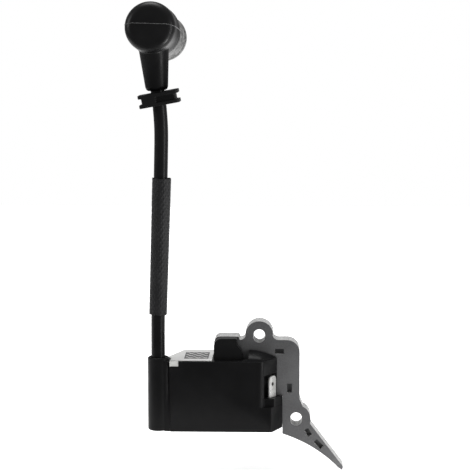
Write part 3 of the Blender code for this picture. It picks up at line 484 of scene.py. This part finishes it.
def woven():
    """Dark glass-fibre sleeving, with paler fibres scattered through it at random."""
    made = Shader("sleeve_braid", (0.012, 0.012, 0.013), 0.6, 0, 0.18)
    fibres = made.noise(3800, 2)
    patch = made.ranged(made.noise(160, 4), 0.3, 0.7, 0, 1)
    base = made.mixed(patch, (0.005, 0.005, 0.0054), (0.01, 0.01, 0.0105))
    made.colour(made.mixed(made.ranged(fibres, 0.4, 0.8, 0, 0.5), base, (0.04, 0.04, 0.042)))
    made.roughness(made.ranged(fibres, 0.3, 0.7, 0.45, 0.65))
    made.bump(fibres, 0.6, 0.04)
    return made


def wound(name, colour, pitch):
    """Enamelled wire, wound level, with painted shade darkening the grooves between its turns."""
    made = Shader(name, colour, 0.35, 0.8)
    height = made.split(made.where)["Z"]
    turns = made.math("SINE", made.math("MULTIPLY", height, math.tau / (pitch * MM)))
    # painted shade: the colour darkens towards the grooves between turns, where the bump is lowest
    dark = tuple(c * 0.35 for c in colour)
    made.colour(made.mixed(made.ranged(turns, -1, 0.2, 0, 1), dark, colour))
    made.roughness(made.ranged(made.noise(500, 3), 0.3, 0.7, 0.28, 0.45))
    made.bump(turns, 0.8, pitch / 3)
    return made


def paint(piece, made):
    piece.data.materials.clear()
    piece.data.materials.append(made.material)
    return piece


# ================================================================ frames of the CAD
def boot_frame():
    """Where the lead's and the plug's axes cross, with Z up along the lead."""
    joint = JOINTS["boot_swivel"]
    axis = Vector(joint["axis"]).normalized()
    tilt = math.atan2(axis.x, axis.z)
    at = Vector(joint["pos_m"]) + axis * BOOT_CROSSING * MM
    return (Matrix.Translation(at) @ Matrix.Rotation(tilt, 4, "Y")
            @ Matrix.Rotation(math.radians(-BOOT_YAW), 4, "Z"))


def plug_frame():
    return Matrix.Rotation(math.radians(90 - PLUG_DROP), 4, "X")


# ================================================================ camera, lights, stage
def build_camera():
    data = bpy.data.cameras.new("camera")
    data.lens = CAMERA_LENS
    data.sensor_width = 36
    data.clip_start = 0.01
    made = add_object("camera", data)
    made.location = CAMERA_AT
    made.rotation_euler = (math.radians(CAMERA_PITCH), 0, math.radians(CAMERA_YAW))
    bpy.context.scene.camera = made


def area_light(name, at, towards, size, power):
    data = bpy.data.lights.new(name, "AREA")
    data.shape = "DISK"
    data.size = size
    data.energy = power
    made = add_object(name, data)
    made.location = at
    made.rotation_euler = (Vector(towards) - Vector(at)).to_track_quat("-Z", "Y").to_euler()


def build_stage():
    world = bpy.data.worlds.new("studio")
    world.use_nodes = True
    backdrop = world.node_tree.nodes["Background"]
    backdrop.inputs["Color"].default_value = (1, 1, 1, 1)
    seen = world.node_tree.nodes.new("ShaderNodeLightPath")
    strength = world.node_tree.nodes.new("ShaderNodeMapRange")
    strength.inputs["To Min"].default_value = ROOM_LIGHT
    world.node_tree.links.new(seen.outputs["Is Camera Ray"], strength.inputs["Value"])
    world.node_tree.links.new(strength.outputs["Result"], backdrop.inputs["Strength"])
    bpy.context.scene.world = world
    bpy.context.scene.view_settings.view_transform = "Standard"
    bpy.ops.mesh.primitive_plane_add(size=FLOOR_SIZE, location=(0, FLOOR_BACK, cad_bounds[0].z - FLOOR_GAP))
    floor = bpy.context.object
    floor.name = "floor"
    made = Shader("floor", (0.9, 0.9, 0.9), 0.9, 0, 0.1)
    made.colour(made.mixed(made.noise(4, 2), (0.89, 0.89, 0.89), (0.91, 0.91, 0.91)))
    made.main.inputs["Emission Color"].default_value = (1, 1, 1, 1)
    made.main.inputs["Emission Strength"].default_value = FLOOR_GLOW
    paint(floor, made)
    middle = (-0.02, -0.005, 0.05)
    area_light("top", (-0.1, 0.15, 1.1), middle, 0.7, 9)
    area_light("left", (-1.1, -0.35, 0.5), middle, 0.5, 5)
    area_light("right", (1.0, -0.5, 0.3), middle, 0.35, 3)
    area_light("low_right", (0.7, -0.4, -0.01), middle, 0.25, 1.2)
    area_light("low_front", (0.65, -0.4, -0.48), (-0.05, -0.02, 0.12), 0.2, 6.5)


# ================================================================ pieces
def build_lead(jacket, copper):
    path = smooth_route(LEAD_ROUTE, ROUTE_SPACING)
    lead = wire("ignition_lead_fine", path, LEAD_RADIUS, 14)
    longer = [path[0] + (path[0] - path[1]), *path, path[-1] + (path[-1] - path[-2])]
    boolean(lead, wire("lead_hollow", longer, LEAD_HOLLOW, 6), "DIFFERENCE")
    lead.data.shade_smooth()
    lead.data.set_sharp_from_angle(angle=math.radians(40))
    paint(lead, jacket)
    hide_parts("ignition_lead")
    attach(lead, "module")
    conductor = wire("lead_conductor_fine", path[3:-3], CONDUCTOR_RADIUS, 5)
    conductor.data.shade_smooth()
    paint(conductor, copper)
    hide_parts("lead_conductor")
    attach(conductor, "module")
    return lead, path


def build_sleeve(braid):
    """A fine tube whose outer wall is raised into crossing strands, with slightly uneven cut ends."""
    low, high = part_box("protective_sleeve")
    low_radius, high_radius = ((bore + SLEEVE_WALL) * MM for bore in SLEEVE_BORE)
    start = Vector((low.x + low_radius, (low.y + high.y) / 2, low.z))
    end = Vector((high.x - high_radius, start.y, high.z))
    axis = (end - start).normalized()
    start += axis * axis.x * low_radius
    length = (end - start).length - axis.x * high_radius
    across = Vector((axis.z, 0, -axis.x))
    deep = Vector((0, 1, 0))
    rows = round(length / MM / SLEEVE_ROW)
    steps = SLEEVE_STEPS
    strands = WEAVE_ROUND / 2
    mesh = bmesh.new()
    rings = []
    for i in range(rows + 1):
        t = i / rows
        outer_ring, inner_ring = [], []
        bore = SLEEVE_BORE[0] + (SLEEVE_BORE[1] - SLEEVE_BORE[0]) * t
        for j in range(steps):
            a = math.tau * j / steps
            z = t * length / MM
            turn = math.tau * z / (WEAVE_PITCH * 2)
            weave = max(math.sin(strands * a + turn), math.sin(strands * a - turn))
            fray = 0.1 * math.sin(7 * a + 1) + 0.08 * math.sin(17 * a)
            end = max(0.0, 1 - min(z, length / MM - z) / FRAY_REACH)
            up = (z + fray * end * (1 if t > 0.5 else -1) * -0.6) * MM
            for radius, ring in ((bore + SLEEVE_WALL + WEAVE_HEIGHT * (weave - 1), outer_ring),
                                 (bore + INNER_WEAVE * weave, inner_ring)):
                at = start + axis * up + (across * math.cos(a) + deep * math.sin(a)) * radius * MM
                ring.append(mesh.verts.new(at))
        rings.append((outer_ring, inner_ring))
    for (outer, inner), (next_outer, next_inner) in zip(rings, rings[1:]):
        for j in range(steps):
            k = (j + 1) % steps
            mesh.faces.new((outer[j], outer[k], next_outer[k], next_outer[j]))
            mesh.faces.new((inner[k], inner[j], next_inner[j], next_inner[k]))
    for (outer, inner), flip in ((rings[0], True), (rings[-1], False)):
        for j in range(steps):
            k = (j + 1) % steps
            corners = (outer[j], outer[k], inner[k], inner[j])
            mesh.faces.new(tuple(reversed(corners)) if flip else corners)
    data = bpy.data.meshes.new("protective_sleeve_woven")
    mesh.to_mesh(data)
    mesh.free()
    sleeve = add_object("protective_sleeve_woven", data)
    data.shade_smooth()
    paint(sleeve, braid)
    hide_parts("protective_sleeve")
    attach(sleeve, "sleeve")
    return sleeve


def build_grommet(soft):
    grommet = remeshed(copy_of("lead_grommet", "lead_grommet_fine"), 0.14, 5)
    paint(grommet, soft)
    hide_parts("lead_grommet")
    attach(grommet, "grommet")
    return grommet


def head_profile():
    fillet = [(HEAD_RADIUS - HEAD_FILLET + HEAD_FILLET * math.sin(a),
               HEAD_FRONT - HEAD_FILLET + HEAD_FILLET * math.cos(a))
              for a in (math.pi / 2 * i / 12 for i in range(13))]
    return [(0, HEAD_FRONT + 0.05), *fillet, (HEAD_RADIUS + 0.1, -HEAD_BACK + 0.8),
            (HEAD_RADIUS - 0.5, -HEAD_BACK), (NECK_RADIUS, -HEAD_BACK - 0.3),
            (NECK_RADIUS, -NECK_END), (SKIRT_RADIUS, -NECK_END - 0.4),
            (SKIRT_RADIUS + 0.1, -SKIRT_END + 2.6), (SKIRT_LIP, -SKIRT_END + 2.2),
            (SKIRT_LIP, -SKIRT_END), (0, -SKIRT_END)]


def build_boot(soft):
    plug = plug_frame()
    boot = turned("plug_boot_fine", head_profile(), 120)
    boot.data.transform(plug)
    stem = turned("stem", [(0, 0), (STEM_TOP_RADIUS, 0), (STEM_TOP_RADIUS, -6),
                           (STEM_BOTTOM_RADIUS, STEM_END + 1.3), (STEM_BOTTOM_RADIUS - 0.35, STEM_END + 0.4),
                           (STEM_BOTTOM_RADIUS - 1.0, STEM_END), (0, STEM_END)], 96)
    boolean(boot, stem, "UNION")
    socket = turned("socket", [(0, -CHAMBER_END), (CHAMBER_RADIUS, -CHAMBER_END),
                               (CHAMBER_RADIUS, -SOCKET_BOTTOM), (SOCKET_RADIUS, -SOCKET_BOTTOM - 1),
                               (SOCKET_RADIUS, -SKIRT_END + 1.6), (SOCKET_MOUTH, -SKIRT_END),
                               (SOCKET_MOUTH, -SKIRT_END - 1), (0, -SKIRT_END - 1)], 96)
    socket.data.transform(plug)
    boolean(boot, socket, "DIFFERENCE")
    bore_radius = LEAD_RADIUS / MM + BORE_CLEARANCE
    bore = turned("bore", [(0, -1), (bore_radius, -1), (bore_radius, STEM_END - 1), (0, STEM_END - 1)], 64)
    boolean(boot, bore, "DIFFERENCE")
    remeshed(boot, VOXEL, 7)
    boot.matrix_world = boot_frame()
    boot.data.transform(boot.matrix_world)
    boot.matrix_world = Matrix.Identity(4)
    paint(boot, soft)
    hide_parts("plug_boot")
    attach(boot, "boot")

    # mould flash across the head's face, bent down towards its right side
    line = []
    for side in (-1, 1):
        half = []
        for radius, depth in head_profile()[:HEAD_POINTS]:
            across = side * math.sqrt(max(0, radius ** 2 - FLASH_HEIGHT ** 2))
            height = FLASH_HEIGHT - FLASH_SLOPE * across - FLASH_BEND * across ** 2
            if radius > 2 * FLASH_HEIGHT:
                half.append((side * math.sqrt(radius ** 2 - height ** 2), height, depth))
        line = [*reversed(half), *line] if side < 0 else [*line, *half]
    points = [boot_frame() @ plug @ Vector((x * MM, y * MM, z * MM)) for x, y, z in line]
    flash = wire("plug_boot_flash", smooth_route(points, FLASH_SPACING * MM), FLASH_RADIUS * MM, 3)
    flash.data.shade_smooth()
    # painted highlight: the flash's colour is lighter than the boot rubber it is made of, so the parting
    # line shows as a bright line
    paint(flash, grained("mould_flash_painted_highlight", (0.03, 0.03, 0.031), 0.32, 900, 0.05, specular=0.6))
    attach(flash, "boot")
    return [boot, flash]


def build_casing(plastic):
    casing = bevelled(copy_of("casing_shell", "casing_shell_fine"), 0.35)
    paint(casing, plastic)
    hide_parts("casing_shell")
    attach(casing, "module")


# ================================================================ all together
build_camera()
build_stage()

jacket = grained("lead_jacket", (0.0045, 0.0045, 0.0048), 0.3, 1500, 0.015, specular=0.13)
copper = Shader("copper_wire", (0.75, 0.33, 0.15), 0.32, 0.9)
copper.roughness(copper.ranged(copper.noise(800, 3), 0.3, 0.7, 0.25, 0.42))
lead, lead_path = build_lead(jacket, copper)
soft = rubber("soft_rubber", (0.005, 0.005, 0.0053), 0.45, 0.16)
sleeve = build_sleeve(woven())
grommet = build_grommet(soft)
boot_pieces = build_boot(dusty_rubber())

build_casing(black_plastic())

finishes = {
    "lamination_steel": steel(),
    "resin_grey": grained("resin_grey", (0.62, 0.62, 0.6), 0.45, 900, 0.03, mottle=0.06),
    "label_film": film(),
    "tinned_steel": tinned(),
    "bobbin_plastic": grained("bobbin_plastic", (0.0055, 0.0055, 0.0058), 0.36, 2000, 0.015, specular=0.16),
    "copper_wire": copper,
    "fine_copper_wire": wound("fine_copper_wire", (0.55, 0.22, 0.09), 0.16),
    "board_green": grained("board_green", (0.03, 0.2, 0.08), 0.35, 1200, 0.03, mottle=0.2),
    "component_black": grained("component_black", (0.015, 0.015, 0.016), 0.5, 2200, 0.02),
    "component_orange": grained("component_orange", (0.6, 0.24, 0.05), 0.3, 700, 0.04, mottle=0.12),
    "component_beige": grained("component_beige", (0.62, 0.5, 0.33), 0.45, 900, 0.03, mottle=0.1),
    "brass": grained("brass", (0.75, 0.55, 0.25), 0.3, 1500, 0.01, metallic=0.9, mottle=0.12),
    "sealant": grained("sealant", (0.014, 0.014, 0.014), 0.3, 500, 0.05),
    "spring_steel": grained("spring_steel", (0.6, 0.6, 0.6), 0.28, 1800, 0.01, metallic=0.9, mottle=0.15),
}
slots = {part["node"]: part["material_slot"] for part in frame["record"]["subparts"]}
winding = wound("primary_copper", (0.72, 0.32, 0.14), 0.5)
for name, node in NODES.items():
    if name == "primary_winding":
        paint(node, winding)
    elif name == "lamination_04":
        # painted shade: this plate's faces are darkened so the stake recesses in front of it look shaded
        paint(node, steel("stake_shadow_steel", 0.4))
    elif slots[name] in finishes:
        paint(node, finishes[slots[name]])
